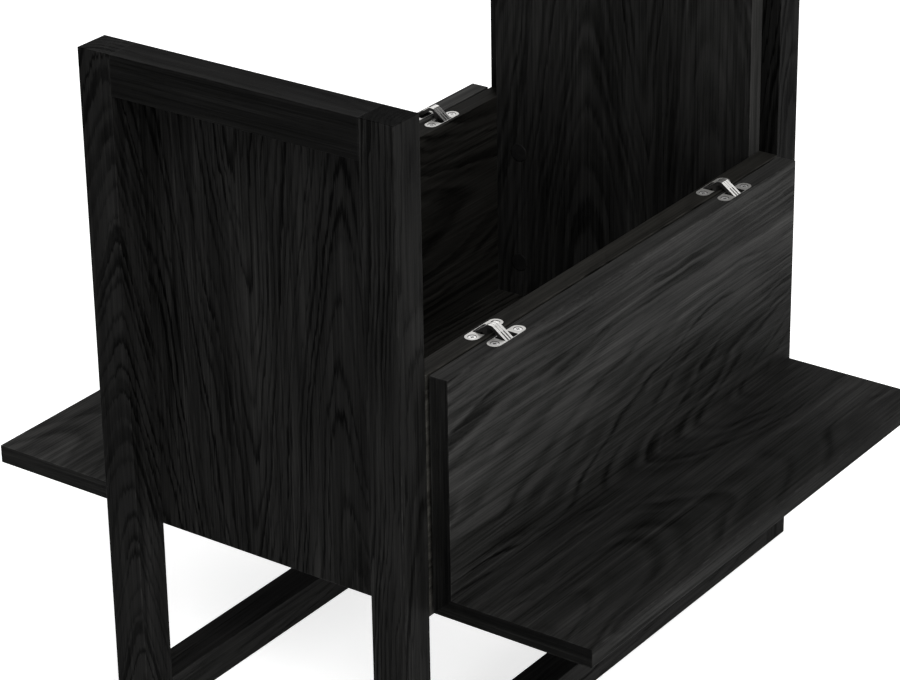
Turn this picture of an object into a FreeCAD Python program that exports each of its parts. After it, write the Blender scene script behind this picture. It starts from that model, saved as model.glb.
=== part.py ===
import FreeCAD, Part
import math
import os

# Tall storage table with two L-shaped flip lids.
# X runs along the hinge lines, from end a (-X) to end b (+X).
# Y runs across the table: the left side is +Y, the right side is -Y.
# Z is up and the floor is Z = 0; the origin is the middle of the footprint.
# Both lids are drawn open: they hang outside the box as wings.

Vector = FreeCAD.Vector
X_AXIS = Vector(1, 0, 0)
Y_AXIS = Vector(0, 1, 0)
Z_AXIS = Vector(0, 0, 1)

# Driving dimensions, in millimetres.
OVERALL_LENGTH = 583.0
OVERALL_WIDTH = 300.0
OVERALL_HEIGHT = 595.0
POST = 32.0
RAIL_HEIGHT = 34.0
RUNNER_HEIGHT = 30.0
END_PANEL_THICKNESS = 17.5
WALL_THICKNESS = 18.0
BOTTOM_THICKNESS = 15.8
BOX_BOTTOM = 176.2
WALL_TOP = 383.8

# The lids, as they hang open.
LID_WALL_GAP = 2.4
LID_POST_GAP = 1.8
LID_SIDE_THICKNESS = 17.0
LID_TOP_THICKNESS = 15.8
LID_UNDERSIDE = 179.6
LID_EDGE = 298.6
CLOSED_LID_GAP = 1.5
LEDGE_CLEARANCE = 0.5
SPLINE_THICKNESS = 3.0
SPLINE_WIDTH = 11.0
SPLINE_END_INSET = 12.0

# Edge treatment of the wood.
EASE = 0.6
LID_EASE = 1.0
FIT_CLEARANCE = 0.1

# The concealed hinges.
HINGE_END_DISTANCE = 122.5
LEAF_CENTRE = 10.5
LEAF_LENGTH = 44.0
LEAF_WIDTH = 12.6
LEAF_THICKNESS = 2.2
LEAF_PROUD = 0.3
CUP_LENGTH = 21.0
CUP_WIDTH = 12.2
CUP_DEPTH = 21.2
CUP_CORNER = 3.0
CUP_TOP_SINK = 1.0
MOUTH_LENGTH = 16.4
MOUTH_WIDTH = 11.2
MOUTH_DEPTH = 20.2
MOUTH_CORNER = 1.2
LEAF_RIM_BEVEL = 0.25
SCREW_SPACING = 31.4
SCREW_HEAD_RADIUS = 3.2
SCREW_HEAD_HEIGHT = 1.7
SCREW_HEAD_SINK = 0.4
SCREW_RADIUS = 1.5
SCREW_TIP_RADIUS = 0.2
SCREW_TIP_LENGTH = 3.0
SCREW_LENGTH = 15.0
SCREW_CROSS_ARM = 1.7
SCREW_CROSS_HALF_SLOT = 0.42
SCREW_CROSS_DEPTH = 1.2

# The link that bridges each hinge: a flat crown over the hinge line and a straight slope on each side
# of it, down to a foot in each cup. Heights are above the hinge line.
LINK_WIDTH = 9.4
LINK_OFFSET = 2.6
LINK_THICKNESS = 2.8
LINK_CROWN_HALF = 2.0
LINK_CROWN_HEIGHT = 8.55
LINK_FOOT_REACH = 15.5
LINK_FOOT_HEIGHT = -1.15
LINK_KNEE_RADIUS = 2.8
LINK_SLOT = 1.25
LINK_SLOT_START = 8.4
LINK_GROOVE = 0.35
LINK_PIVOT_IN = 5.1
LINK_PIVOT_DOWN = 2.1
LINK_HUB_RADIUS = 1.7
LINK_PIN_RADIUS = 0.9
LINK_PIN_GRIP = 0.8
PIN_RUNNING_CLEARANCE = 0.05
PIN_PRESS_CLEARANCE = 0.02
NOTCH_SIDE_CLEARANCE = 0.3
NOTCH_RADIAL_CLEARANCE = 0.25

# Fixings inside the wood.
DOWEL_RADIUS = 4.0
DOWEL_BEVEL = 0.8
CAM_RADIUS = 7.5
CAM_DEPTH = 12.6
CAM_EDGE_DISTANCE = 24.5
CAM_HEIGHTS = (225.5, 334.5)
CAM_SLOT_ARM = 4.2
CAM_SLOT_HALF = 0.7
CAM_SLOT_DEPTH = 2.0
CAM_MOUTH_CLEARANCE = 0.5
CAM_COVER_RADIUS = 8.2
CAM_COVER_THICKNESS = 1.1
CAM_COVER_BEVEL = 0.6
BOLT_SHAFT_RADIUS = 2.4
BOLT_HEAD_RADIUS = 3.3
BOLT_HEAD_LENGTH = 2.4
BOLT_THREAD_RADIUS = 3.4
BOLT_THREAD_LENGTH = 11.0
BOLT_THREAD_HOLE_LENGTH = 11.5
BOLT_COLLAR = 1.0
BOLT_BORE_RADIUS = 4.0
PAST_A_FACE = 1.0

# Worked out from the driving dimensions.
HALF_LENGTH = OVERALL_LENGTH / 2
HALF_WIDTH = OVERALL_WIDTH / 2
POST_INNER_X = HALF_LENGTH - POST
POST_INNER_Y = HALF_WIDTH - POST
WALL_INNER_Y = HALF_WIDTH - WALL_THICKNESS
PANEL_INNER_X = POST_INNER_X - END_PANEL_THICKNESS
LID_HALF_LENGTH = POST_INNER_X - LID_POST_GAP
LID_INNER_Y = HALF_WIDTH + LID_WALL_GAP
LID_OUTER_Y = LID_INNER_Y + LID_SIDE_THICKNESS
LID_BOARD_TOP = LID_UNDERSIDE + LID_TOP_THICKNESS
HINGE_Y = HALF_WIDTH + LID_WALL_GAP / 2
HINGE_Z = WALL_TOP + CLOSED_LID_GAP / 2
HINGE_X = HALF_LENGTH - HINGE_END_DISTANCE
CLOSED_BOARD_UNDERSIDE = 2 * HINGE_Z - LID_BOARD_TOP
END_PANEL_TOP = CLOSED_BOARD_UNDERSIDE - LEDGE_CLEARANCE
RAIL_BOTTOM = OVERALL_HEIGHT - RAIL_HEIGHT


def block(x_range, y_range, z_range):
    """A rectangular solid between three pairs of limits."""
    corner = Vector(x_range[0], y_range[0], z_range[0])
    sizes = [limits[1] - limits[0] for limits in (x_range, y_range, z_range)]
    return Part.makeBox(sizes[0], sizes[1], sizes[2], corner)


def rod(start, direction, radius, length):
    return Part.makeCylinder(radius, length, start, direction)


def turned(shape):
    """The same piece on the opposite side: half a turn about the vertical axis."""
    copy = shape.copy()
    copy.rotate(Vector(0, 0, 0), Z_AXIS, 180)
    return copy


def ease_edges(shape, radius, wanted):
    """Round the straight edges for which wanted(direction, middle) is true."""
    chosen = []
    for edge in shape.Edges:
        if isinstance(edge.Curve, Part.Line):
            start, end = edge.Vertexes[0].Point, edge.Vertexes[-1].Point
            direction = (end - start).normalize()
            if wanted(direction, (start + end) * 0.5):
                chosen.append(edge)
    return shape.makeFillet(radius, chosen)


def along(direction, axis):
    return abs(direction.dot(axis)) > 0.99


def cut_all(shape, tools):
    for tool in tools:
        shape = shape.cut(tool)
    return shape


def prism(points, start, extrusion):
    """Extrude a closed outline of straight runs."""
    outline = Part.makePolygon([start + point for point in points + points[:1]])
    return Part.Face(outline).extrude(extrusion)


def dowel(middle, direction, length, radius=DOWEL_RADIUS):
    """A round pin with bevelled ends, centred on a joint line."""
    body = rod(middle - direction * (length / 2), direction, radius, length)
    return body.makeChamfer(DOWEL_BEVEL, [e for e in body.Edges if isinstance(e.Curve, Part.Circle)])


def dowel_hole(middle, direction, length, radius=DOWEL_RADIUS):
    """The drilled hole for a dowel, a little wider and deeper than the dowel."""
    depth = length + 4 * FIT_CLEARANCE
    return rod(middle - direction * (depth / 2), direction, radius + FIT_CLEARANCE, depth)


# ---------------------------------------------------------------- joint positions

RAIL_DOWEL_LENGTH = 40.0
RAIL_DOWEL_SHARES = (0.3, 0.7)
RUNNER_DOWEL_LENGTH = 36.0
PANEL_DOWEL_LENGTH = 22.0
PANEL_DOWEL_RADIUS = 3.0
PANEL_DOWEL_COUNT = 4
PANEL_DOWEL_FIRST = 30.0
PANEL_DOWEL_STEP = 112.0
BOTTOM_DOWEL_LENGTH = 24.0
BOTTOM_DOWEL_RADIUS = 3.0
BOTTOM_DOWEL_X = (-180.0, -60.0, 60.0, 180.0)
POST_CENTRE_X = HALF_LENGTH - POST / 2
POST_CENTRE_Y = HALF_WIDTH - POST / 2
OVERLAP_CENTRE_Y = (POST_INNER_Y + WALL_INNER_Y) / 2


def rail_dowel_places(side):
    """Two dowels, one above the other, where the top rail of end a meets a post."""
    heights = [RAIL_BOTTOM + RAIL_HEIGHT * share for share in RAIL_DOWEL_SHARES]
    return [Vector(-POST_CENTRE_X, side * POST_INNER_Y, height) for height in heights]


def runner_dowel_places(end, side=1):
    """Two dowels, side by side, where a floor runner meets a post."""
    middle = Vector(end * POST_INNER_X, side * POST_CENTRE_Y, RUNNER_HEIGHT / 2)
    return [middle + Y_AXIS * offset for offset in (-POST / 4, POST / 4)]


def panel_dowel_places(side):
    """Four dowels between the end panel of end a and the post beside it."""
    lowest = BOX_BOTTOM + PANEL_DOWEL_FIRST
    heights = [lowest + step * PANEL_DOWEL_STEP for step in range(PANEL_DOWEL_COUNT)]
    return [Vector(-POST_INNER_X, side * OVERLAP_CENTRE_Y, height) for height in heights]


def bottom_dowel_places():
    """Four dowels between the bottom panel and the left wall."""
    height = BOX_BOTTOM + BOTTOM_THICKNESS / 2
    return [Vector(x, WALL_INNER_Y, height) for x in BOTTOM_DOWEL_X]


def cam_places(side):
    """The two cam locks that pull a wall against the edge of the end panel of end a."""
    return [Vector(-PANEL_INNER_X, side * (WALL_INNER_Y - CAM_EDGE_DISTANCE), z) for z in CAM_HEIGHTS]


# ---------------------------------------------------------------- end frames

def post(side):
    """A full-height square leg of end a, with its top and outer edges eased."""
    y_limits = sorted((side * POST_INNER_Y, side * HALF_WIDTH))
    body = block((-HALF_LENGTH, -POST_INNER_X), y_limits, (0, OVERALL_HEIGHT))

    def wanted(direction, middle):
        at_rail_seam = abs(abs(middle.y) - POST_INNER_Y) < 0.01
        at_top = abs(middle.z - OVERALL_HEIGHT) < 0.01
        at_floor = abs(middle.z) < 0.01
        return along(direction, Z_AXIS) or at_floor or (at_top and not at_rail_seam)

    body = ease_edges(body, EASE, wanted)
    holes = [dowel_hole(p, Y_AXIS, RAIL_DOWEL_LENGTH) for p in rail_dowel_places(side)]
    holes += [dowel_hole(p, X_AXIS, RUNNER_DOWEL_LENGTH) for p in runner_dowel_places(-1, side)]
    for place in panel_dowel_places(side):
        holes.append(dowel_hole(place, X_AXIS, PANEL_DOWEL_LENGTH, PANEL_DOWEL_RADIUS))
    return cut_all(body, holes)


def top_rail():
    """The rail of end a, butted between the two posts and flush with them."""
    body = block((-HALF_LENGTH, -POST_INNER_X), (-POST_INNER_Y, POST_INNER_Y),
                 (RAIL_BOTTOM, OVERALL_HEIGHT))
    body = ease_edges(body, EASE, lambda direction, middle: along(direction, Y_AXIS))
    places = rail_dowel_places(1) + rail_dowel_places(-1)
    return cut_all(body, [dowel_hole(p, Y_AXIS, RAIL_DOWEL_LENGTH) for p in places])


def end_panel():
    """The board of end a, on the inner faces of the posts. Its top edge is the ledge for the lids."""
    x_limits = (-POST_INNER_X, -PANEL_INNER_X)
    body = block(x_limits, (-WALL_INNER_Y, WALL_INNER_Y), (BOX_BOTTOM, END_PANEL_TOP))

    def wanted(direction, middle):
        at_end = abs(middle.z - BOX_BOTTOM) < 0.01 or abs(middle.z - END_PANEL_TOP) < 0.01
        return along(direction, Y_AXIS) and at_end

    body = ease_edges(body, EASE, wanted)
    holes = []
    for side in (-1, 1):
        for place in panel_dowel_places(side):
            holes.append(dowel_hole(place, X_AXIS, PANEL_DOWEL_LENGTH, PANEL_DOWEL_RADIUS))
        for place in cam_places(side):
            holes.append(rod(place, -X_AXIS, CAM_RADIUS, CAM_DEPTH))
            holes.append(cam_bolt_bore(place, side))
    return cut_all(body, holes)


def cam_axis_point(place):
    """The point on a cam's axis where the bolt's head sits, in the middle of the panel."""
    return place - X_AXIS * (END_PANEL_THICKNESS / 2)


def cam_bolt_bore(place, side):
    """The bore from the panel's edge to the cam."""
    centre = cam_axis_point(place)
    return rod(centre, Y_AXIS * side, BOLT_BORE_RADIUS, CAM_EDGE_DISTANCE)


def cam_lock(place, side):
    """A round cam with a cross slot in its face and a mouth for the bolt's head."""
    body = rod(place, -X_AXIS, CAM_RADIUS - FIT_CLEARANCE, CAM_DEPTH - FIT_CLEARANCE)
    centre = cam_axis_point(place)
    mouth_half = BOLT_SHAFT_RADIUS + CAM_MOUTH_CLEARANCE
    head_half = BOLT_HEAD_RADIUS + CAM_MOUTH_CLEARANCE
    mouth = block((centre.x - mouth_half, centre.x + mouth_half),
                  sorted((centre.y, centre.y + side * CAM_RADIUS)),
                  (centre.z - mouth_half, centre.z + mouth_half))
    half_pocket = BOLT_HEAD_LENGTH / 2 + CAM_MOUTH_CLEARANCE
    pocket = rod(centre - Y_AXIS * half_pocket, Y_AXIS, head_half, 2 * half_pocket)
    slots = [block((place.x - CAM_SLOT_DEPTH, place.x + PAST_A_FACE),
                   (place.y - a, place.y + a), (place.z - b, place.z + b))
             for a, b in ((CAM_SLOT_ARM, CAM_SLOT_HALF), (CAM_SLOT_HALF, CAM_SLOT_ARM))]
    return cut_all(body, [mouth, pocket] + slots)


def cam_bolt(place, side):
    """The bolt that screws into the wall and hooks into the cam."""
    direction = Y_AXIS * side
    head_start = cam_axis_point(place) - direction * (BOLT_HEAD_LENGTH / 2)
    head = rod(head_start, direction, BOLT_HEAD_RADIUS, BOLT_HEAD_LENGTH)
    shaft_length = CAM_EDGE_DISTANCE + BOLT_HEAD_LENGTH / 2 - BOLT_COLLAR
    shaft = rod(head_start, direction, BOLT_SHAFT_RADIUS, shaft_length)
    thread_start = head_start + direction * shaft_length
    thread = rod(thread_start, direction, BOLT_THREAD_RADIUS, BOLT_THREAD_LENGTH + BOLT_COLLAR)
    return head.fuse([shaft, thread]).removeSplitter()


def cam_cover(place):
    """The thin round cap over a cam, with a bevelled rim."""
    body = rod(place, X_AXIS, CAM_COVER_RADIUS, CAM_COVER_THICKNESS)
    rim = [edge for edge in body.Edges
           if isinstance(edge.Curve, Part.Circle) and edge.Curve.Center.x > place.x + CAM_COVER_THICKNESS / 2]
    return body.makeFillet(CAM_COVER_BEVEL, rim)


# ---------------------------------------------------------------- box and runners

def hinge_mortise(centre):
    """The pocket that one hinge leaf needs in the edge of a board. Its mouth is at the centre."""
    margin = FIT_CLEARANCE
    plate = stadium(centre, LEAF_LENGTH + 2 * margin, LEAF_WIDTH + 2 * margin,
                    -LEAF_THICKNESS + LEAF_PROUD - margin, PAST_A_FACE)
    cup = rounded_block(centre, CUP_LENGTH + 2 * margin, CUP_WIDTH + 2 * margin, CUP_DEPTH + margin)
    pilots = [rod(centre + Vector(offset, 0, 0), -Z_AXIS, SCREW_RADIUS + FIT_CLEARANCE,
                  SCREW_LENGTH + SCREW_HEAD_SINK)
              for offset in (-SCREW_SPACING / 2, SCREW_SPACING / 2)]
    return [plate, cup] + pilots


def side_wall():
    """The fixed long wall on the left, between the posts and flush with them outside."""
    body = block((-POST_INNER_X, POST_INNER_X), (WALL_INNER_Y, HALF_WIDTH), (BOX_BOTTOM, WALL_TOP))
    body = ease_edges(body, EASE, lambda direction, middle: along(direction, X_AXIS))
    tools = [dowel_hole(p, Y_AXIS, BOTTOM_DOWEL_LENGTH, BOTTOM_DOWEL_RADIUS)
             for p in bottom_dowel_places()]
    for hinge_x in (-HINGE_X, HINGE_X):
        tools += hinge_mortise(Vector(hinge_x, HINGE_Y - LEAF_CENTRE, WALL_TOP))
        tools.append(hub_notch(hinge_x))
    for place in cam_places(1):
        bore = rod(Vector(cam_axis_point(place).x, WALL_INNER_Y - PAST_A_FACE, place.z), Y_AXIS,
                   BOLT_THREAD_RADIUS + FIT_CLEARANCE, BOLT_THREAD_HOLE_LENGTH + PAST_A_FACE)
        tools.append(bore)
        tools.append(bore.mirror(Vector(0, 0, 0), X_AXIS))
    return cut_all(body, tools)


def bottom_panel():
    """The box's floor, between the walls and the end panels."""
    body = block((-PANEL_INNER_X, PANEL_INNER_X), (-WALL_INNER_Y, WALL_INNER_Y),
                 (BOX_BOTTOM, BOX_BOTTOM + BOTTOM_THICKNESS))
    places = bottom_dowel_places()
    places += [Vector(p.x, -p.y, p.z) for p in places]
    holes = [dowel_hole(p, Y_AXIS, BOTTOM_DOWEL_LENGTH, BOTTOM_DOWEL_RADIUS) for p in places]
    return cut_all(body, holes)


def floor_runner():
    """The long bar on the floor at the left, between the posts."""
    body = block((-POST_INNER_X, POST_INNER_X), (POST_INNER_Y, HALF_WIDTH), (0, RUNNER_HEIGHT))
    body = ease_edges(body, EASE, lambda direction, middle: along(direction, X_AXIS))
    places = runner_dowel_places(-1) + runner_dowel_places(1)
    return cut_all(body, [dowel_hole(p, X_AXIS, RUNNER_DOWEL_LENGTH) for p in places])


# ---------------------------------------------------------------- lids

def mitre_frame():
    """The mitre's outer corner, its direction towards the inner corner, and its length."""
    corner = Vector(0, LID_INNER_Y, LID_UNDERSIDE)
    run = Vector(0, LID_SIDE_THICKNESS, LID_TOP_THICKNESS)
    return corner, run / run.Length, run.Length


def lid_spline(clearance=0.0):
    """The strip glued in a groove across the mitre, along the whole lid."""
    corner, run, length = mitre_frame()
    across = Vector(0, -run.z, run.y)
    middle = corner + run * (length / 2)
    half_thickness = SPLINE_THICKNESS / 2 + clearance
    half_width = SPLINE_WIDTH / 2 + clearance
    half_length = LID_HALF_LENGTH - SPLINE_END_INSET + clearance
    outline = [run * a * half_thickness + across * b * half_width
               for a, b in ((-1, -1), (1, -1), (1, 1), (-1, 1))]
    return prism(outline, middle - X_AXIS * half_length, X_AXIS * (2 * half_length))


def lid_side_panel():
    """The upright board of the left lid; it hangs beside the wall and carries the hinges."""
    outline = [Vector(0, LID_INNER_Y, LID_UNDERSIDE), Vector(0, LID_OUTER_Y, LID_BOARD_TOP),
               Vector(0, LID_OUTER_Y, WALL_TOP), Vector(0, LID_INNER_Y, WALL_TOP)]
    body = prism(outline, Vector(-LID_HALF_LENGTH, 0, 0), X_AXIS * (2 * LID_HALF_LENGTH))

    def at_top(direction, middle):
        return abs(middle.z - WALL_TOP) < 0.01

    body = ease_edges(body, EASE, at_top)
    tools = [lid_spline(FIT_CLEARANCE)]
    for hinge_x in (-HINGE_X, HINGE_X):
        tools += hinge_mortise(Vector(hinge_x, HINGE_Y + LEAF_CENTRE, WALL_TOP))
    return cut_all(body, tools)


def lid_top_board():
    """The flat board of the left lid; it is a wing when open and the table top when closed."""
    outline = [Vector(0, LID_INNER_Y, LID_UNDERSIDE), Vector(0, LID_EDGE, LID_UNDERSIDE),
               Vector(0, LID_EDGE, LID_BOARD_TOP), Vector(0, LID_OUTER_Y, LID_BOARD_TOP)]
    body = prism(outline, Vector(-LID_HALF_LENGTH, 0, 0), X_AXIS * (2 * LID_HALF_LENGTH))

    def at_outer_edge(direction, middle):
        return abs(middle.y - LID_EDGE) < 0.01

    body = ease_edges(body, LID_EASE, at_outer_edge)
    return body.cut(lid_spline(FIT_CLEARANCE))


# ---------------------------------------------------------------- hinges

def stadium(centre, length, width, bottom, top):
    """A plate with round ends, along X, between two heights above the centre."""
    radius = width / 2
    reach = length / 2 - radius
    low = centre + Vector(0, 0, bottom)
    height = top - bottom
    middle = block((low.x - reach, low.x + reach), (low.y - radius, low.y + radius), (low.z, low.z + height))
    ends = [rod(low + Vector(x, 0, 0), Z_AXIS, radius, height) for x in (-reach, reach)]
    return middle.fuse(ends).removeSplitter()


def rounded_block(centre, length, width, depth):
    """A block below the centre with rounded vertical corners."""
    body = block((centre.x - length / 2, centre.x + length / 2),
                 (centre.y - width / 2, centre.y + width / 2), (centre.z - depth, centre.z))
    return ease_edges(body, CUP_CORNER, lambda direction, middle: along(direction, Z_AXIS))


def countersink(place, height, clearance=0.0):
    """A cone with the slope of a screw's head. Its narrow end is the shank's, at the head's foot."""
    growth = (SCREW_HEAD_RADIUS - SCREW_RADIUS) / SCREW_HEAD_HEIGHT
    narrow = SCREW_RADIUS + clearance
    return Part.makeCone(narrow, narrow + growth * height, height,
                         place - Z_AXIS * SCREW_HEAD_HEIGHT, Z_AXIS)


def screw_places(centre):
    """The middles of the screws' heads, a little below the face of the plate."""
    height = LEAF_PROUD - SCREW_HEAD_SINK
    return [centre + Vector(x, 0, height) for x in (-SCREW_SPACING / 2, SCREW_SPACING / 2)]


def leaf_screw(place):
    """A countersunk screw with a cross recess and a pointed tip."""
    head = countersink(place, SCREW_HEAD_HEIGHT)
    shank_length = SCREW_LENGTH - SCREW_TIP_LENGTH - SCREW_HEAD_HEIGHT / 2
    shank = rod(place - Z_AXIS * (SCREW_LENGTH - SCREW_TIP_LENGTH), Z_AXIS, SCREW_RADIUS, shank_length)
    point = Part.makeCone(SCREW_TIP_RADIUS, SCREW_RADIUS, SCREW_TIP_LENGTH,
                          place - Z_AXIS * SCREW_LENGTH, Z_AXIS)
    arm = SCREW_CROSS_ARM
    half_slot = SCREW_CROSS_HALF_SLOT
    recess = [block((place.x - a, place.x + a), (place.y - b, place.y + b),
                    (place.z - SCREW_CROSS_DEPTH, place.z + PAST_A_FACE))
              for a, b in ((arm, half_slot), (half_slot, arm))]
    return cut_all(head.fuse([shank, point]).removeSplitter(), recess)


def leaf(centre):
    """A face plate with a deep cup behind it and an open mouth for the link."""
    plate = stadium(centre, LEAF_LENGTH, LEAF_WIDTH, -LEAF_THICKNESS + LEAF_PROUD, LEAF_PROUD)
    rim = [edge for edge in plate.Edges if abs(edge.BoundBox.ZMin - centre.z - LEAF_PROUD) < 0.01]
    plate = plate.makeChamfer(LEAF_RIM_BEVEL, rim)
    cup = rounded_block(centre - Z_AXIS * CUP_TOP_SINK, CUP_LENGTH, CUP_WIDTH, CUP_DEPTH - CUP_TOP_SINK)
    body = plate.fuse(cup).removeSplitter()
    mouth = block((centre.x - MOUTH_LENGTH / 2, centre.x + MOUTH_LENGTH / 2),
                  (centre.y - MOUTH_WIDTH / 2, centre.y + MOUTH_WIDTH / 2),
                  (centre.z - MOUTH_DEPTH, centre.z + PAST_A_FACE))
    mouth = ease_edges(mouth, MOUTH_CORNER, lambda direction, middle: along(direction, Z_AXIS))
    holes = []
    for place in screw_places(centre):
        holes.append(countersink(place, SCREW_HEAD_HEIGHT + SCREW_HEAD_SINK, PIN_RUNNING_CLEARANCE))
        holes.append(rod(place, -Z_AXIS, SCREW_RADIUS + PIN_RUNNING_CLEARANCE, LEAF_THICKNESS + PAST_A_FACE))
    return cut_all(body, [mouth] + holes)


def link_centre_x(hinge_x):
    """Each link sits off the middle of its cup, towards end b on the left side."""
    return hinge_x + LINK_OFFSET


def pivot_point(hinge_x):
    """The pin's place in the wall leaf: it is just inside the mouth's outer lip."""
    return Vector(hinge_x, HINGE_Y - LINK_PIVOT_IN, HINGE_Z - LINK_PIVOT_DOWN)


def hub_notch(hinge_x):
    """Room for the link's hub in the lip between the cup and the wall's outer face."""
    pivot = pivot_point(hinge_x)
    half_width = LINK_WIDTH / 2 + NOTCH_SIDE_CLEARANCE
    radius = LINK_HUB_RADIUS + NOTCH_RADIAL_CLEARANCE
    centre_x = link_centre_x(hinge_x)
    notch = rod(Vector(centre_x - half_width, pivot.y, pivot.z), X_AXIS, radius, 2 * half_width)
    opening = block((centre_x - half_width, centre_x + half_width),
                    (pivot.y - radius, pivot.y + radius), (pivot.z, HINGE_Z + PAST_A_FACE))
    return notch.fuse(opening).removeSplitter()


def wall_leaf(hinge_x):
    """The leaf let into the wall's top edge. It holds the pin."""
    body = leaf(Vector(hinge_x, HINGE_Y - LEAF_CENTRE, WALL_TOP))
    body = body.cut(hub_notch(hinge_x))
    return body.cut(pin_rod(hinge_x, PIN_PRESS_CLEARANCE))


def pin_rod(hinge_x, clearance=0.0):
    pivot = pivot_point(hinge_x)
    reach = MOUTH_LENGTH / 2 + LINK_PIN_GRIP
    return rod(pivot - X_AXIS * reach, X_AXIS, LINK_PIN_RADIUS + clearance, 2 * reach)


def lid_leaf(hinge_x):
    """The leaf let into the lid's edge. The link's other foot moves in its cup."""
    return leaf(Vector(hinge_x, HINGE_Y + LEAF_CENTRE, WALL_TOP))


def under_knee(inset, foot_height, x_limits):
    """The space under the link's outline, pulled in by an inset, and above its feet."""
    rise = LINK_CROWN_HEIGHT - LINK_FOOT_HEIGHT
    run = LINK_FOOT_REACH - LINK_CROWN_HALF
    slope = math.atan2(rise, run)
    crown_height = LINK_CROWN_HEIGHT - inset
    crown_half = LINK_CROWN_HALF - inset * math.tan(slope / 2)
    foot_half = crown_half + (crown_height - foot_height) / math.tan(slope)
    outline = [Vector(0, -foot_half, foot_height), Vector(0, -crown_half, crown_height),
               Vector(0, crown_half, crown_height), Vector(0, foot_half, foot_height)]
    body = prism(outline, Vector(x_limits[0], HINGE_Y, HINGE_Z), X_AXIS * (x_limits[1] - x_limits[0]))

    def at_knee(direction, middle):
        return along(direction, X_AXIS) and abs(middle.z - HINGE_Z - crown_height) < 0.01

    return ease_edges(body, max(LINK_KNEE_RADIUS - inset, LINK_KNEE_RADIUS / 3), at_knee)


def link(hinge_x):
    """The strap between the two cups, with slotted feet, and the web and hub that carry it."""
    centre_x = link_centre_x(hinge_x)
    x_limits = (centre_x - LINK_WIDTH / 2, centre_x + LINK_WIDTH / 2)
    past_the_sides = (x_limits[0] - PAST_A_FACE, x_limits[1] + PAST_A_FACE)
    strap = under_knee(0.0, LINK_FOOT_HEIGHT, x_limits)
    strap = strap.cut(under_knee(LINK_THICKNESS, LINK_FOOT_HEIGHT - PAST_A_FACE, past_the_sides))
    pivot = pivot_point(hinge_x)
    web_top = HINGE_Z + LINK_CROWN_HEIGHT - LINK_THICKNESS
    web = block(x_limits, (pivot.y - LINK_HUB_RADIUS, pivot.y + LINK_HUB_RADIUS), (pivot.z, web_top))
    web = web.common(under_knee(LINK_THICKNESS / 2, pivot.z - HINGE_Z, x_limits))
    hub = rod(Vector(x_limits[0], pivot.y, pivot.z), X_AXIS, LINK_HUB_RADIUS, LINK_WIDTH)
    body = strap.fuse([web, hub]).removeSplitter()
    bore = rod(Vector(past_the_sides[0], pivot.y, pivot.z), X_AXIS,
               LINK_PIN_RADIUS + PIN_RUNNING_CLEARANCE, LINK_WIDTH + 2 * PAST_A_FACE)
    return cut_all(body, [bore] + link_slots(x_limits[0]))


def link_slots(x_start):
    """Two slots in each foot, and a fine groove in line with each of them over the crown."""
    tools = []
    for share in (1 / 3, 2 / 3):
        slot_x = x_start + LINK_WIDTH * share
        slot_limits = (slot_x - LINK_SLOT / 2, slot_x + LINK_SLOT / 2)
        for side in (-1, 1):
            y_limits = sorted((HINGE_Y + side * LINK_SLOT_START,
                               HINGE_Y + side * (LINK_FOOT_REACH + PAST_A_FACE)))
            tools.append(block(slot_limits, y_limits,
                               (HINGE_Z + LINK_FOOT_HEIGHT - PAST_A_FACE, HINGE_Z + LINK_CROWN_HEIGHT)))
        groove_limits = (slot_x - LINK_GROOVE / 2, slot_x + LINK_GROOVE / 2)
        outside = under_knee(-PAST_A_FACE, LINK_FOOT_HEIGHT, groove_limits)
        tools.append(outside.cut(under_knee(LINK_GROOVE, LINK_FOOT_HEIGHT, groove_limits)))
    return tools


# ---------------------------------------------------------------- assembly

def compound(shapes):
    return Part.makeCompound(shapes)


def with_turned(shapes):
    return shapes + [turned(shape) for shape in shapes]


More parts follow.
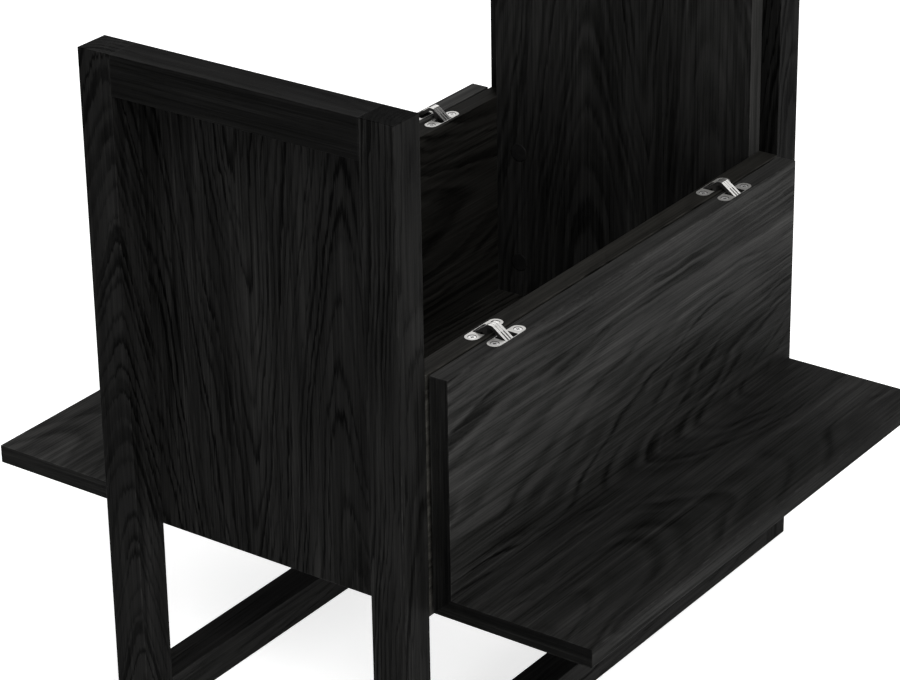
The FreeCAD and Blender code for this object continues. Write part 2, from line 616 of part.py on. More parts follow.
def build():
    """All nodes, by name. End b and the right side are end a and the left side, turned."""
    nodes = {}
    post_left = post(1)
    post_right = post(-1)
    nodes["post_a_left"] = post_left
    nodes["post_a_right"] = post_right
    nodes["post_b_right"] = turned(post_left)
    nodes["post_b_left"] = turned(post_right)
    for name, make in (("top_rail", top_rail), ("end_panel", end_panel)):
        nodes[name + "_a"] = make()
        nodes[name + "_b"] = turned(nodes[name + "_a"])
    for name, make in (("side_wall", side_wall), ("floor_runner", floor_runner)):
        nodes[name + "_left"] = make()
        nodes[name + "_right"] = turned(nodes[name + "_left"])
    nodes["bottom_panel"] = bottom_panel()

    rail_places = rail_dowel_places(1) + rail_dowel_places(-1)
    nodes["rail_dowels"] = compound(with_turned([dowel(p, Y_AXIS, RAIL_DOWEL_LENGTH) for p in rail_places]))
    runner_places = runner_dowel_places(1) + runner_dowel_places(-1)
    nodes["runner_dowels"] = compound(
        with_turned([dowel(p, X_AXIS, RUNNER_DOWEL_LENGTH) for p in runner_places]))
    panel_places = panel_dowel_places(1) + panel_dowel_places(-1)
    nodes["panel_dowels"] = compound(
        with_turned([dowel(p, X_AXIS, PANEL_DOWEL_LENGTH, PANEL_DOWEL_RADIUS) for p in panel_places]))
    bottom_places = bottom_dowel_places()
    nodes["bottom_dowels"] = compound(
        with_turned([dowel(p, Y_AXIS, BOTTOM_DOWEL_LENGTH, BOTTOM_DOWEL_RADIUS) for p in bottom_places]))
    cams = [(place, side) for side in (1, -1) for place in cam_places(side)]
    nodes["cam_locks"] = compound(with_turned([cam_lock(place, side) for place, side in cams]))
    nodes["cam_bolts"] = compound(with_turned([cam_bolt(place, side) for place, side in cams]))
    nodes["cam_covers"] = compound(with_turned([cam_cover(place) for place, side in cams]))

    for name, make in (("side_panel", lid_side_panel), ("top_board", lid_top_board), ("spline", lid_spline)):
        nodes["lid_left_" + name] = make()
        nodes["lid_right_" + name] = turned(nodes["lid_left_" + name])

    hinge_places = {"a": -HINGE_X, "b": HINGE_X}
    other_end = {"a": "b", "b": "a"}
    for end, hinge_x in hinge_places.items():
        for name, make in (("wall_leaf", wall_leaf), ("lid_leaf", lid_leaf), ("link", link)):
            piece = make(hinge_x)
            nodes["hinge_left_%s_%s" % (end, name)] = piece
            nodes["hinge_right_%s_%s" % (other_end[end], name)] = turned(piece)
    nodes["hinge_pins"] = compound(with_turned([pin_rod(x) for x in hinge_places.values()]))

    wall_screws = []
    lid_screws = []
    for hinge_x in hinge_places.values():
        wall_centre = Vector(hinge_x, HINGE_Y - LEAF_CENTRE, WALL_TOP)
        lid_centre = Vector(hinge_x, HINGE_Y + LEAF_CENTRE, WALL_TOP)
        wall_screws += [leaf_screw(place) for place in screw_places(wall_centre)]
        lid_screws += [leaf_screw(place) for place in screw_places(lid_centre)]
    nodes["wall_leaf_screws"] = compound(with_turned(wall_screws))
    nodes["lid_left_leaf_screws"] = compound(lid_screws)
    nodes["lid_right_leaf_screws"] = compound([turned(screw) for screw in lid_screws])
    return nodes


def main():
    os.makedirs("parts", exist_ok=True)
    nodes = build()
    for name in sorted(nodes):
        shape = nodes[name]
        if not shape.isValid():
            print("INVALID", name)
        shape.exportStep("parts/%s.step" % name)
        print("%-26s solids %2d  volume %10.1f mm3" % (name, len(shape.Solids), shape.Volume))
    print("nodes:", len(nodes))
    print("hinge axis: y = +-%.2f, z = %.2f" % (HINGE_Y, HINGE_Z))
    print("end panel top: %.2f, closed lid top: %.2f" % (END_PANEL_TOP, 2 * HINGE_Z - LID_UNDERSIDE))


main()
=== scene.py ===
import math

import bpy
from mathutils import Matrix, Vector


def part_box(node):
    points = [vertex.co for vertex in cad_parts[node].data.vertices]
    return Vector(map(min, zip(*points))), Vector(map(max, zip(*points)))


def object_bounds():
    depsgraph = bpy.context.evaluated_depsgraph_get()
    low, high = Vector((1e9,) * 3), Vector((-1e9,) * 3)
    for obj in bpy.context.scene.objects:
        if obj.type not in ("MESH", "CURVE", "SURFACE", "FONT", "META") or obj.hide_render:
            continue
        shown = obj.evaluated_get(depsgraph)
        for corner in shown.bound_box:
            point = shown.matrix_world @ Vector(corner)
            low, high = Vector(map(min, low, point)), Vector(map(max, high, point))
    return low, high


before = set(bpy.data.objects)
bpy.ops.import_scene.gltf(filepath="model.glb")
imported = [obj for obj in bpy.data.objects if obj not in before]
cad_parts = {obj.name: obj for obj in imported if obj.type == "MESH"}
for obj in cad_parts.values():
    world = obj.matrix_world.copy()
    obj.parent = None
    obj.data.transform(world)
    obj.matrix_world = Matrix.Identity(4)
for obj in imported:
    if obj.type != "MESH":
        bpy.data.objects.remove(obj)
cad_low, cad_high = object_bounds()

# Lengths are in metres and angles in degrees. +Z is up, X runs along the lids' hinge lines and +Y is the
# left side. End a (-X) is the end nearer the camera.

# The camera: a long lens, looking down on the corner between end a and the right side.
CAMERA_PLACE = (-2.0403, -1.4597, 1.4685)
CAMERA_HEADING = 36.88
CAMERA_DOWN_TILT = 24.14
CAMERA_ROLL = 1.38
CAMERA_LENS_MM = 131.68
CAMERA_SENSOR_MM = 36.0
CAMERA_SHIFT = (0.0624, -0.0870)

AXES = {"X": Vector((1, 0, 0)), "Y": Vector((0, 1, 0)), "Z": Vector((0, 0, 1))}


class Graph:
    """Short calls for building a node tree. Any input takes a socket, a number or a vector."""

    def __init__(self, tree):
        self.tree = tree

    def node(self, kind, **settings):
        made = self.tree.nodes.new(kind)
        for name, value in settings.items():
            setattr(made, name, value)
        return made

    def feed(self, socket, value):
        if isinstance(value, bpy.types.NodeSocket):
            self.tree.links.new(value, socket)
        else:
            socket.default_value = value

    def math(self, operation, *values, clamp=False):
        made = self.node("ShaderNodeMath", operation=operation, use_clamp=clamp)
        for socket, value in zip(made.inputs, values):
            self.feed(socket, value)
        return made.outputs[0]

    def vector(self, operation, *values):
        made = self.node("ShaderNodeVectorMath", operation=operation)
        for socket, value in zip(made.inputs, values):
            self.feed(socket, value)
        return made.outputs["Value"] if operation == "DOT_PRODUCT" else made.outputs["Vector"]

    def combine(self, x, y, z):
        made = self.node("ShaderNodeCombineXYZ")
        for socket, value in zip(made.inputs, (x, y, z)):
            self.feed(socket, value)
        return made.outputs[0]

    def separate(self, value):
        made = self.node("ShaderNodeSeparateXYZ")
        self.feed(made.inputs[0], value)
        return made.outputs[0], made.outputs[1], made.outputs[2]

    def noise(self, place, detail=2.0, roughness=0.5, distortion=0.0):
        """Noise from 0 to 1 with a feature size of 1 in the units of place."""
        made = self.node("ShaderNodeTexNoise", noise_dimensions="3D")
        self.feed(made.inputs["Vector"], place)
        made.inputs["Scale"].default_value = 1.0
        made.inputs["Detail"].default_value = detail
        made.inputs["Roughness"].default_value = roughness
        made.inputs["Distortion"].default_value = distortion
        return made.outputs["Fac"]

    def random(self, number):
        """One random number from 0 to 1 for each whole number."""
        made = self.node("ShaderNodeTexWhiteNoise", noise_dimensions="1D")
        self.feed(made.inputs["W"], number)
        return made.outputs["Value"]

    def smooth(self, value, low, high, start=0.0, end=1.0):
        """Goes smoothly from start, at low, to end, at high."""
        made = self.node("ShaderNodeMapRange", interpolation_type="SMOOTHSTEP")
        for name, given in (("Value", value), ("From Min", low), ("From Max", high),
                            ("To Min", start), ("To Max", end)):
            self.feed(made.inputs[name], given)
        return made.outputs["Result"]

    def mix_vector(self, factor, a, b):
        made = self.node("ShaderNodeMix", data_type="VECTOR")
        for socket, value in zip((made.inputs[0], made.inputs[4], made.inputs[5]), (factor, a, b)):
            self.feed(socket, value)
        return made.outputs[1]

    def ramp(self, factor, stops):
        """A colour ramp through stops of (position, (red, green, blue))."""
        made = self.node("ShaderNodeValToRGB")
        elements = made.color_ramp.elements
        while len(elements) < len(stops):
            elements.new(0.5)
        for element, (position, colour) in zip(elements, stops):
            element.position = position
            element.color = (*colour, 1.0)
        self.feed(made.inputs[0], factor)
        return made.outputs["Color"]

    def stretched(self, place, along, across):
        """Place, (along the grain, across it, depth), as counts of features of those sizes."""
        return self.vector("MULTIPLY", place, (1 / along, 1 / across, 1 / across))


def new_material(name):
    """An empty material with a Principled shader: (material, graph, shader)."""
    material = bpy.data.materials.new(name)
    material.use_nodes = True
    material.node_tree.nodes.clear()
    graph = Graph(material.node_tree)
    shader = graph.node("ShaderNodeBsdfPrincipled")
    output = graph.node("ShaderNodeOutputMaterial")
    graph.feed(output.inputs["Surface"], shader.outputs["BSDF"])
    return material, graph, shader


def add_bump(graph, shader, height, distance, strength):
    bump = graph.node("ShaderNodeBump")
    bump.inputs["Strength"].default_value = strength
    bump.inputs["Distance"].default_value = distance
    graph.feed(bump.inputs["Height"], height)
    graph.feed(shader.inputs["Normal"], bump.outputs["Normal"])


def wear_material(node, material):
    """Gives a CAD node its material, in place of the plain one that it came with."""
    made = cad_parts[node].data.materials
    made.clear()
    made.append(material)


# --- Stained oak -----------------------------------------------------------------------------------------

OAK_INPUTS = (
    ("Place", "NodeSocketVector"),      # along the grain, across it, and depth
    ("Crown A", "NodeSocketVector"),    # across, distance to the heart of the tree, taper
    ("Crown B", "NodeSocketVector"),
    ("Reach", "NodeSocketFloat"),       # how far from a crown's middle its taper is felt
    ("Ring", "NodeSocketFloat"),        # spacing of the growth rings
    ("Wander", "NodeSocketFloat"),      # how far the lines stray, as a share of the usual
    ("Ragged", "NodeSocketFloat"),      # how far the fibres break up the edge of a ring
    ("Soft", "NodeSocketFloat"),        # 0 for crisp dark lines, 1 for broad soft ones
    ("Plain", "NodeSocketFloat"),       # 1 hides the growth rings and leaves the straight fibres
    ("Seed", "NodeSocketFloat"),
)
OAK_OUTPUTS = (("Tone", "NodeSocketFloat"), ("Height", "NodeSocketFloat"))

# The size of each kind of mark, along the grain and across it.
SLOW_WANDER = (0.26, 0.085)
QUICK_WANDER = (0.050, 0.020)
RAGGED_DASH = (0.060, 0.0017)
STRONG_STRETCH = (0.10, 0.024)
FIBRE = (0.140, 0.0014)
THREAD = (0.060, 0.0006)
STREAK = (0.34, 0.0065)
CLOUD = (0.20, 0.055)
PORE = (0.007, 0.00050)

# How far the two kinds of wander move the lines, and how softly the rings of two hearts meet.
SLOW_STRAY = 0.040
QUICK_STRAY = 0.0070
HEART_BLEND = 0.02

# How much each kind of mark lightens or darkens the wood, from its tone between the rings.
SOUND_TONE = 0.64
BAND_TONE = -0.62
FIBRE_TONE = 0.75
THREAD_TONE = 0.30
STREAK_TONE = 0.50
CLOUD_TONE = 0.45
PORE_TONE = -0.30

# How uneven the rings' spacing is, and how faint a dark band may be: in a whole ring, and in a stretch.
RING_UNEVENNESS = 1.8
FAINTEST_RING = 0.35
FAINTEST_STRETCH = 0.30

# The share of a crown's taper that is left beyond its reach, and the relief of the bands and fibres.
FAR_TAPER = 0.1
BAND_RELIEF = -0.35
FIBRE_RELIEF = 0.30

# How square to an axis a face is, as a cosine, where it starts to count as facing it and where it fully does.
NEARLY_SQUARE = (0.60, 0.80)
QUITE_SQUARE = (0.80, 0.95)


def cone_distance(graph, across, depth, along, crown, reach):
    """How far out in the tree a point is: its rings are cones about the heart."""
    offset, heart, taper = graph.separate(crown)
    sideways = graph.math("SUBTRACT", across, offset)
    felt = graph.smooth(graph.math("ABSOLUTE", sideways), 0.0, reach, 1.0, FAR_TAPER)
    taper = graph.math("MULTIPLY", taper, felt)
    inwards = graph.math("ADD", depth, heart)
    squares = graph.math("ADD", graph.math("MULTIPLY", sideways, sideways),
                         graph.math("MULTIPLY", inwards, inwards))
    return graph.math("MULTIPLY_ADD", along, taper, graph.math("SQRT", squares))


def oak_figure():
    """The node group that every board shares: growth rings about one or two hearts, pores and fibres."""
    tree = bpy.data.node_groups.new("oak_figure", "ShaderNodeTree")
    for name, kind in OAK_INPUTS:
        tree.interface.new_socket(name, in_out="INPUT", socket_type=kind)
    for name, kind in OAK_OUTPUTS:
        tree.interface.new_socket(name, in_out="OUTPUT", socket_type=kind)
    graph = Graph(tree)
    given = graph.node("NodeGroupInput").outputs
    result = graph.node("NodeGroupOutput").inputs

    seed_step = graph.vector("SCALE", (1.7, 3.1, 2.3))
    graph.feed(seed_step.node.inputs["Scale"], given["Seed"])

    def board_noise(along, across, detail=2.0, roughness=0.5, distortion=0.0):
        place = graph.vector("ADD", graph.stretched(given["Place"], along, across), seed_step)
        return graph.noise(place, detail, roughness, distortion)

    along, across, depth = graph.separate(given["Place"])
    slow = graph.math("SUBTRACT", board_noise(*SLOW_WANDER, 1.0), 0.5)
    quick = graph.math("SUBTRACT", board_noise(*QUICK_WANDER, 2.0), 0.5)
    stray = graph.math("ADD", graph.math("MULTIPLY", slow, SLOW_STRAY),
                       graph.math("MULTIPLY", quick, QUICK_STRAY))
    across = graph.math("MULTIPLY_ADD", stray, given["Wander"], across)

    nearest = graph.math("SMOOTH_MIN",
                         cone_distance(graph, across, depth, along, given["Crown A"], given["Reach"]),
                         cone_distance(graph, across, depth, along, given["Crown B"], given["Reach"]),
                         HEART_BLEND)
    # The fibres run straight through the rings, so that a ring's edge is a row of short dashes.
    ragged = graph.math("SUBTRACT", board_noise(*RAGGED_DASH, 2.0, 0.6), 0.5)
    nearest = graph.math("MULTIPLY_ADD", ragged, given["Ragged"], nearest)
    rings = graph.math("DIVIDE", nearest, given["Ring"])
    uneven = graph.math("MULTIPLY", graph.noise(graph.combine(rings, given["Seed"], 0.0), 1.0),
                        RING_UNEVENNESS)
    rings = graph.math("ADD", rings, uneven)
    ring = graph.math("FLOOR", rings)
    phase = graph.math("SUBTRACT", rings, ring)
    ring_seed = graph.math("MULTIPLY_ADD", given["Seed"], 17.0, ring)
    weight = graph.random(ring_seed)
    width = graph.math("MULTIPLY_ADD", graph.random(graph.math("ADD", ring_seed, 0.5)), 0.40, 0.25)

    # Each ring starts with a band of open pores, which took the most stain: sharp on one side, fading out
    # on the other, and stronger in some rings and some stretches than in others.
    rise = graph.math("MULTIPLY_ADD", given["Soft"], 0.30, 0.16)
    fall = graph.math("MULTIPLY_ADD", given["Soft"], 0.35, graph.math("ADD", width, 0.22))
    band = graph.math("MULTIPLY", graph.smooth(phase, 0.0, rise), graph.smooth(phase, rise, fall, 1.0, 0.0))
    stretch = graph.smooth(board_noise(*STRONG_STRETCH, 2.0), 0.32, 0.66, FAINTEST_STRETCH, 1.0)
    strength = graph.math("MULTIPLY_ADD", weight, 1.0 - FAINTEST_RING, FAINTEST_RING)
    band = graph.math("MULTIPLY", band, strength)
    band = graph.math("MULTIPLY", band, stretch)
    band = graph.math("MULTIPLY", band, graph.math("SUBTRACT", 1.0, given["Plain"]))

    fibres = board_noise(*FIBRE, 3.0, 0.6)
    threads = board_noise(*THREAD, 2.0, 0.6)
    streaks = board_noise(*STREAK, 2.0, 0.55)
    cloud = board_noise(*CLOUD, 3.0, 0.55, 0.4)
    pores = graph.smooth(board_noise(*PORE, 1.0), 0.56, 0.70)
    pores = graph.math("MULTIPLY", pores, graph.math("MULTIPLY_ADD", band, 0.9, 0.25))

    tone = graph.math("MULTIPLY_ADD", band, BAND_TONE, SOUND_TONE)
    for part, amount in ((fibres, FIBRE_TONE), (threads, THREAD_TONE), (streaks, STREAK_TONE),
                         (cloud, CLOUD_TONE)):
        tone = graph.math("MULTIPLY_ADD", graph.math("SUBTRACT", part, 0.5), amount, tone)
    tone = graph.math("MULTIPLY_ADD", pores, PORE_TONE, tone, clamp=True)
    height = graph.math("MULTIPLY_ADD", pores, -1.0, 1.0)
    height = graph.math("MULTIPLY_ADD", band, BAND_RELIEF, height)
    height = graph.math("MULTIPLY_ADD", fibres, FIBRE_RELIEF, height)

    graph.feed(result["Tone"], tone)
    graph.feed(result["Height"], height)
    return tree


def edge_distance(graph, place, node):
    """Distance to the nearest edge of the board's box: the middle one of the distances to its three pairs
    of faces."""
    low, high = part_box(node)
    centre = (low + high) / 2
    half = (high - low) / 2
    from_centre = graph.vector("ABSOLUTE", graph.vector("SUBTRACT", place, centre))
    x, y, z = graph.separate(graph.vector("SUBTRACT", half, from_centre))
    smaller = graph.math("MINIMUM", x, y)
    larger = graph.math("MAXIMUM", x, y)
    return graph.math("MAXIMUM", smaller, graph.math("MINIMUM", larger, z))


OAK_SHADES = (
    (0.00, (0.0005, 0.0005, 0.0005)),
    (0.25, (0.0020, 0.0020, 0.0019)),
    (0.50, (0.0058, 0.0058, 0.0056)),
    (0.75, (0.0120, 0.0119, 0.0115)),
    (1.00, (0.0210, 0.0208, 0.0200)),
)
OAK_SPECULAR_LEVEL = 0.012
MIDDLE_TONE = 0.55
MITRE_FADE = (0.035, 0.110)       # where the painted shade by a lid's mitre starts and stops fading out
STRIP_PLAIN = 0.85                # how plain the strips of veneer on the edges are
EDGE_WEAR_AND_HIGHLIGHT_WIDTH = 0.0016             # how far from an edge the wood is lighter, and by how much: stain rubbed thin, and painted highlight
EDGE_WEAR_AND_HIGHLIGHT_TONE = 0.16
PORE_DEPTH = 0.00018
INNER_CAST = (1.03, 1.0, 0.93)    # the walls and the floor of the box look a little warmer


def oak_board(node, along, across, origin=None, crowns=((0.0, 0.05, 0.08),), reach=10.0, ring=0.005,
              wander=1.0, ragged=0.0045, soft=0.0, plain=0.0, seed=1.0, shade=1.0, contrast=1.0,
              tint=(1.0, 1.0, 1.0), edge_tone=None, end_tone=-0.12, mitre_painted_shade=0.0, banded=False,
              outer=None, outer_gain=1.0):
    """Stained oak for one board. along and across name the axes of its grain, and across may be a vector.
    The crowns' places are measured from the origin, or from the board's middle if none is given.
    With an edge tone, the edges along the grain are strips of plain veneer, lighter or darker by it. A banded
    board has such a strip on its ends too, so that they show no end grain. The mitre painted shade is added
    near the origin, where a lid's two boards meet and shade each other. Faces towards outer are lighter by
    the outer gain; the other faces keep the board's shade, which on a wall is painted shade of the box's
    inside."""
    material, graph, shader = new_material("stained_oak_" + node)
    low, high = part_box(node)
    start = Vector(origin) if origin else (low + high) / 2
    grain = AXES[along]
    sideways = AXES[across] if isinstance(across, str) else Vector(across)
    inwards = grain.cross(sideways)

    coordinates = graph.node("ShaderNodeTexCoord")
    place = graph.vector("SUBTRACT", coordinates.outputs["Object"], start)
    length_way, cross_way, depth_way = (graph.vector("DOT_PRODUCT", place, way)
                                        for way in (grain, sideways, inwards))

    def facing(way):
        turned_to = graph.math("ABSOLUTE", graph.vector("DOT_PRODUCT", coordinates.outputs["Normal"], way))
        return graph.smooth(turned_to, *NEARLY_SQUARE)

    end = facing(grain)
    board_place = graph.combine(length_way, cross_way, depth_way)
    if banded:
        strip_place = graph.combine(cross_way, length_way, depth_way)
        board_place = graph.mix_vector(end, board_place, strip_place)

    figure = graph.node("ShaderNodeGroup", node_tree=oak)
    graph.feed(figure.inputs["Place"], board_place)
    figure.inputs["Crown A"].default_value = crowns[0]
    figure.inputs["Crown B"].default_value = crowns[-1]
    figure.inputs["Reach"].default_value = reach
    figure.inputs["Ring"].default_value = ring
    figure.inputs["Wander"].default_value = wander
    figure.inputs["Seed"].default_value = seed
    figure.inputs["Ragged"].default_value = ragged
    figure.inputs["Soft"].default_value = soft
    figure.inputs["Plain"].default_value = plain

    middle_share = MIDDLE_TONE * (1 - contrast)
    tone = graph.math("MULTIPLY_ADD", figure.outputs["Tone"], contrast, middle_share)
    if edge_tone is not None:
        edge = facing(sideways)
        strip = graph.math("MAXIMUM", edge, end) if banded else edge
        strip_plain = graph.math("MULTIPLY", strip, STRIP_PLAIN)
        graph.feed(figure.inputs["Plain"], graph.math("MAXIMUM", strip_plain, plain))
        tone = graph.math("MULTIPLY_ADD", edge, edge_tone, tone)
    tone = graph.math("MULTIPLY_ADD", end, end_tone, tone)
    # Darker near the mitre: painted shade where a lid's upright panel and its wing shade each other.
    if mitre_painted_shade:
        near_mitre = graph.smooth(cross_way, MITRE_FADE[0], MITRE_FADE[1], mitre_painted_shade, 0.0)
        tone = graph.math("ADD", tone, near_mitre)
    edges = edge_distance(graph, coordinates.outputs["Object"], node)
    # A patchy lighter band along every edge: stain rubbed thin, and painted highlight on the eased edges.
    edge_wear_and_highlight = graph.smooth(edges, 0.0, EDGE_WEAR_AND_HIGHLIGHT_WIDTH, 1.0, 0.0)
    patchy = graph.smooth(graph.noise(graph.vector("MULTIPLY", place, (70, 70, 70)), 3.0), 0.42, 0.62)
    worn = graph.math("MULTIPLY", edge_wear_and_highlight, patchy)
    tone = graph.math("MULTIPLY_ADD", worn, EDGE_WEAR_AND_HIGHLIGHT_TONE, tone, clamp=True)

    shades = [(position, tuple(shade * part * cast for part, cast in zip(colour, tint)))
              for position, colour in OAK_SHADES]
    colour = graph.ramp(tone, shades)
    if outer:
        outwards = graph.vector("DOT_PRODUCT", coordinates.outputs["Normal"], outer)
        gain = graph.smooth(outwards, *NEARLY_SQUARE, 1.0, outer_gain)
        colour = graph.vector("MULTIPLY", colour, graph.combine(gain, gain, gain))
    graph.feed(shader.inputs["Base Color"], colour)
    roughness = graph.math("MULTIPLY_ADD", tone, -0.14, 0.58)
    graph.feed(shader.inputs["Roughness"], graph.math("MULTIPLY_ADD", edge_wear_and_highlight, -0.06, roughness))
    shader.inputs["Specular IOR Level"].default_value = OAK_SPECULAR_LEVEL
    add_bump(graph, shader, figure.outputs["Height"], PORE_DEPTH, 0.6)
    wear_material(node, material)


oak = oak_figure()


def dress_boards():
    """Gives each wooden piece its own grain."""
    oak_board("end_panel_a", "Z", "Y", crowns=((0.122, 0.020, 0.12), (-0.076, 0.010, 0.10)), ring=0.0056,
              seed=3.0, shade=0.72, contrast=1.4, edge_tone=0.25)
    oak_board("end_panel_b", "Z", "Y", crowns=((0.035, 0.020, 0.14), (-0.095, 0.012, 0.10)), ring=0.0070,
              soft=0.5, plain=0.35, seed=8.4, shade=1.25, edge_tone=0.25)
    posts = {
        "a_left": dict(crowns=((-0.012, -0.030, 0.28),), ring=0.0062, wander=1.2, shade=0.70, end_tone=0.13),
        "a_right": dict(crowns=((-0.055, 0.012, 0.06),), ring=0.0045, wander=0.8, shade=0.85, contrast=1.0,
                        end_tone=-0.33),
        "b_left": dict(crowns=((0.040, 0.0, 0.08),), ring=0.0050, shade=0.68),
        "b_right": dict(crowns=((-0.035, 0.010, 0.09),), ring=0.0052, shade=0.52),
    }
    for index, (name, look) in enumerate(posts.items()):
        oak_board(f"post_{name}", "Z", "Y", seed=11.0 + 1.3 * index, **look)
    for end, seed in (("a", 5.0), ("b", 6.0)):
        oak_board(f"top_rail_{end}", "Y", "X", crowns=((0.03, 0.05, 0.03),), ring=0.0045, plain=0.5,
                  seed=seed, shade=0.70, edge_tone=-0.28)
    # The left lid's colour is lighter than the right's (3.4 against 2.4): painted light, for the light that
    # falls on the left wing.
    for side, way, seed, shade, inside_painted_shade, wing_mitre_shade in (("left", 1, 22.0, 3.4, 1.3, 0.0),
                                                          ("right", -1, 20.0, 2.4, 1.75, -0.10)):
        upright_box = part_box(f"lid_{side}_side_panel")
        wing_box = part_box(f"lid_{side}_top_board")
        outer = upright_box[1].y if way > 0 else upright_box[0].y
        corner = (0.0, outer, wing_box[1].z)
        lid = dict(crowns=((0.005, 0.055, -0.34), (-0.085, 0.045, 0.26)), reach=0.15, ring=0.0125,
                   wander=1.6, ragged=0.0026, soft=1.0, seed=seed, shade=shade, banded=True,
                   end_tone=-0.36)
        oak_board(f"lid_{side}_side_panel", "X", "Z", origin=corner, plain=0.35, edge_tone=0.08,
                  mitre_painted_shade=-0.16, **lid)
        oak_board(f"lid_{side}_top_board", "X", (0, -way, 0), origin=corner, plain=0.62, edge_tone=-0.16,
                  mitre_painted_shade=wing_mitre_shade, **lid)
        # All of a wall's faces but its outside keep the darker inside shade: painted shade of the box's
        # inside. The outer gain brings its outside back up to the lid's colour.
        oak_board(f"side_wall_{side}", "X", "Z", crowns=((0.02, 0.045, 0.09),), ring=0.0070, wander=1.3,
                  soft=0.6, plain=0.3, seed=31.0 + way, shade=inside_painted_shade, contrast=0.85,
                  tint=INNER_CAST, edge_tone=0.01, outer=(0, way, 0), outer_gain=shade / inside_painted_shade)
        oak_board(f"floor_runner_{side}", "X", "Z", crowns=((0.03, 0.05, 0.04),), ring=0.005, plain=0.3,
                  seed=41.0 + way)
        oak_board(f"lid_{side}_spline", "X", "Y", seed=45.0)
    oak_board("bottom_panel", "X", "Y", crowns=((0.05, 0.04, 0.08), (-0.07, 0.05, 0.1)), ring=0.006,
              seed=51.0, shade=1.6, tint=INNER_CAST)


# --- Metal, beech and plastic ----------------------------------------------------------------------------

# Near black: the darkest smudges of the metal, and painted shade on the hinge and screw faces that are not
# square to their unshaded axis.
SMUDGE_AND_PAINTED_SHADE = (0.035, 0.034, 0.033)


def brushed_metal(name, colour, roughness, brush_axis="X", unshaded_axis=None, metallic=1.0,
                  squareness=NEARLY_SQUARE):
    """Satin metal: fine lines along one axis, small smudges, and duller in its scratches. With an unshaded
    axis, only faces nearly square to it keep the metal's colour, and squareness says where that starts and is
    full;
    all other faces, the slots, countersinks, pockets and bevels, are painted near black: painted shade."""
    material, graph, shader = new_material(name)
    coordinates = graph.node("ShaderNodeTexCoord").outputs
    place = coordinates["Object"]
    stretch = {"X": (60, 9000, 9000), "Y": (9000, 60, 9000), "Z": (9000, 9000, 60)}[brush_axis]
    lines = graph.noise(graph.vector("MULTIPLY", place, stretch), 2.0)
    smudges = graph.noise(graph.vector("MULTIPLY", place, (160, 160, 160)), 3.0)
    worn = graph.math("ADD", graph.math("MULTIPLY", lines, 0.5), graph.math("MULTIPLY", smudges, 0.5))
    polish_and_painted_shade = worn
    # Faces not square to the unshaded axis go to the dark stop: painted shade in slots, countersinks, pockets
    # and on bevels.
    if unshaded_axis:
        turned_to = graph.vector("DOT_PRODUCT", coordinates["Normal"], AXES[unshaded_axis])
        square = graph.math("ABSOLUTE", turned_to)
        polish_and_painted_shade = graph.math("MULTIPLY", worn, graph.smooth(square, *squareness))
    dull = tuple(part * 0.80 for part in colour)
    graph.feed(shader.inputs["Base Color"],
               graph.ramp(polish_and_painted_shade, ((0.0, SMUDGE_AND_PAINTED_SHADE), (0.30, dull), (0.62, colour))))
    graph.feed(shader.inputs["Roughness"], graph.smooth(polish_and_painted_shade, 0.0, 0.7, roughness + 0.16, roughness - 0.05))
    shader.inputs["Metallic"].default_value = metallic
    add_bump(graph, shader, lines, 0.00002, 0.5)
    return material


def beech():
    """Pale turned beech, for the dowels: short flecks along the grain."""
    material, graph, shader = new_material("plain_beech")
    place = graph.node("ShaderNodeTexCoord").outputs["Object"]
    fibres = graph.noise(graph.vector("MULTIPLY", place, (900, 900, 1500)), 3.0)
    flecks = graph.smooth(graph.noise(graph.vector("MULTIPLY", place, (700, 700, 2600)), 1.0), 0.60, 0.72)
    tone = graph.math("MULTIPLY_ADD", flecks, -0.35, fibres, clamp=True)
    graph.feed(shader.inputs["Base Color"],
               graph.ramp(tone, ((0.2, (0.36, 0.22, 0.12)), (0.7, (0.62, 0.43, 0.27)))))
    graph.feed(shader.inputs["Roughness"], graph.smooth(tone, 0.2, 0.8, 0.75, 0.6))
    add_bump(graph, shader, tone, 0.0001, 0.5)
    return material


def dark_plastic():
    """The moulded covers of the cam locks: near black, with a fine spark-eroded texture."""
    material, graph, shader = new_material("dark_cap")
    place = graph.node("ShaderNodeTexCoord").outputs["Object"]
    grit = graph.noise(graph.vector("MULTIPLY", place, (4200, 4200, 4200)), 2.0)
    haze = graph.noise(graph.vector("MULTIPLY", place, (140, 140, 140)), 2.0)
    graph.feed(shader.inputs["Base Color"],
               graph.ramp(haze, ((0.3, (0.0055, 0.0055, 0.0055)), (0.7, (0.0095, 0.0094, 0.0093)))))
    graph.feed(shader.inputs["Roughness"], graph.smooth(haze, 0.3, 0.7, 0.60, 0.50))
    shader.inputs["Specular IOR Level"].default_value = 0.06
    add_bump(graph, shader, grit, 0.00004, 0.4)
    return material


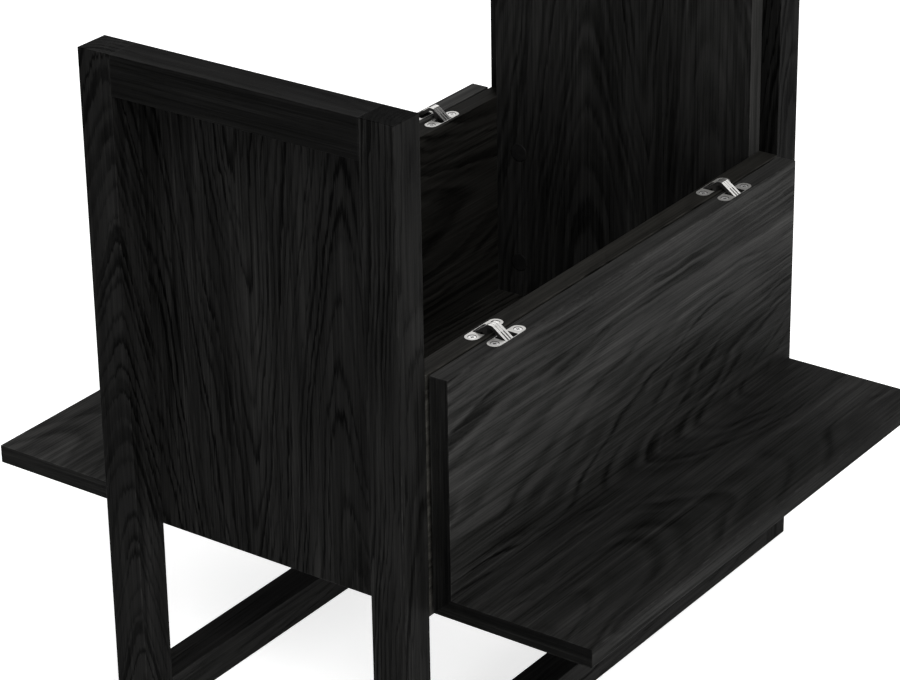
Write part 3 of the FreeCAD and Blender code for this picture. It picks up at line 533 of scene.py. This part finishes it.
def dress_fittings():
    """Gives the hinges, screws, cam locks and dowels their materials."""
    nickel = brushed_metal("satin_nickel", (0.66, 0.65, 0.63), 0.42, "X", "Z", 0.72, QUITE_SQUARE)
    link_nickel = brushed_metal("satin_nickel_link", (0.78, 0.77, 0.75), 0.30, "Y", "Z", 0.85)
    steel = brushed_metal("hinge_steel", (0.86, 0.85, 0.84), 0.34, "X", "Z", 0.60, QUITE_SQUARE)
    zinc = brushed_metal("zinc_alloy", (0.50, 0.50, 0.51), 0.42)
    for side in ("left", "right"):
        for end in ("a", "b"):
            wear_material(f"hinge_{side}_{end}_wall_leaf", nickel)
            wear_material(f"hinge_{side}_{end}_lid_leaf", nickel)
            wear_material(f"hinge_{side}_{end}_link", link_nickel)
        wear_material(f"lid_{side}_leaf_screws", steel)
    wear_material("wall_leaf_screws", steel)
    wear_material("hinge_pins", steel)
    wear_material("cam_bolts", steel)
    wear_material("cam_locks", zinc)
    wear_material("cam_covers", dark_plastic())
    wood = beech()
    for node in ("rail_dowels", "runner_dowels", "panel_dowels", "bottom_dowels"):
        wear_material(node, wood)


# --- Studio ----------------------------------------------------------------------------------------------

FLOOR_HALF_WIDTH = 30.0
FLOOR_DROP = 0.0005      # keeps the floor clear of the feet's undersides
FLOOR_GLOW = 0.72        # evens the floor out to a pale ground


def add_floor():
    """A plain pale floor, wide enough to reach the horizon in every view."""
    half = FLOOR_HALF_WIDTH
    mesh = bpy.data.meshes.new("studio_floor")
    mesh.from_pydata([(-half, -half, 0), (half, -half, 0), (half, half, 0), (-half, half, 0)], [],
                     [(0, 1, 2, 3)])
    floor = bpy.data.objects.new("studio_floor", mesh)
    bpy.context.scene.collection.objects.link(floor)
    floor.location.z = cad_low.z - FLOOR_DROP
    material, graph, shader = new_material("studio_floor")
    place = graph.node("ShaderNodeTexCoord").outputs["Object"]
    speckle = graph.noise(graph.vector("MULTIPLY", place, (6, 6, 6)), 3.0)
    graph.feed(shader.inputs["Base Color"],
               graph.ramp(speckle, ((0.3, (0.86, 0.86, 0.86)), (0.7, (0.89, 0.89, 0.89)))))
    shader.inputs["Roughness"].default_value = 0.9
    shader.inputs["Specular IOR Level"].default_value = 0.1
    shader.inputs["Emission Color"].default_value = (1, 1, 1, 1)
    shader.inputs["Emission Strength"].default_value = FLOOR_GLOW
    mesh.materials.append(material)


def add_softbox(name, place, aim, size, power):
    """A soft rectangular light, turned towards a point."""
    light = bpy.data.lights.new(name, "AREA")
    light.shape = "RECTANGLE"
    light.size, light.size_y = size
    light.energy = power
    softbox = bpy.data.objects.new(name, light)
    bpy.context.scene.collection.objects.link(softbox)
    softbox.location = place
    softbox.rotation_mode = "QUATERNION"
    softbox.rotation_quaternion = (Vector(aim) - Vector(place)).to_track_quat("-Z", "Y")


def add_lights():
    """A white room with a key light on the right, a fill above the camera, and a rim light behind."""
    world = bpy.data.worlds.new("studio")
    world.use_nodes = True
    background = world.node_tree.nodes["Background"]
    background.inputs["Color"].default_value = (1.0, 1.0, 1.0, 1.0)
    background.inputs["Strength"].default_value = 0.42
    bpy.context.scene.world = world
    middle = (cad_low + cad_high) / 2
    add_softbox("key_right", (-1.1, -3.2, 0.95), middle, (2.2, 1.6), 50.0)
    add_softbox("fill_front", (-1.9, -2.1, 2.8), middle, (1.8, 1.4), 80.0)
    add_softbox("rim_back", (3.3, 1.0, 2.6), middle, (4.6, 2.2), 34.0)


def add_camera():
    """The camera, turned by its heading about Z, then tilted down, then rolled."""
    data = bpy.data.cameras.new("camera")
    data.sensor_fit = "HORIZONTAL"
    data.sensor_width = CAMERA_SENSOR_MM
    data.lens = CAMERA_LENS_MM
    data.shift_x, data.shift_y = CAMERA_SHIFT
    data.clip_start, data.clip_end = 0.05, 100.0
    camera = bpy.data.objects.new("camera", data)
    bpy.context.scene.collection.objects.link(camera)
    turn = Matrix.Rotation(math.radians(CAMERA_HEADING - 90), 4, "Z")
    tilt = Matrix.Rotation(math.radians(90 - CAMERA_DOWN_TILT), 4, "X")
    roll = Matrix.Rotation(math.radians(-CAMERA_ROLL), 4, "Z")
    camera.matrix_world = Matrix.Translation(CAMERA_PLACE) @ turn @ tilt @ roll
    bpy.context.scene.camera = camera


add_camera()
add_floor()
add_lights()
bpy.context.scene.view_settings.view_transform = "Standard"
dress_boards()
dress_fittings()
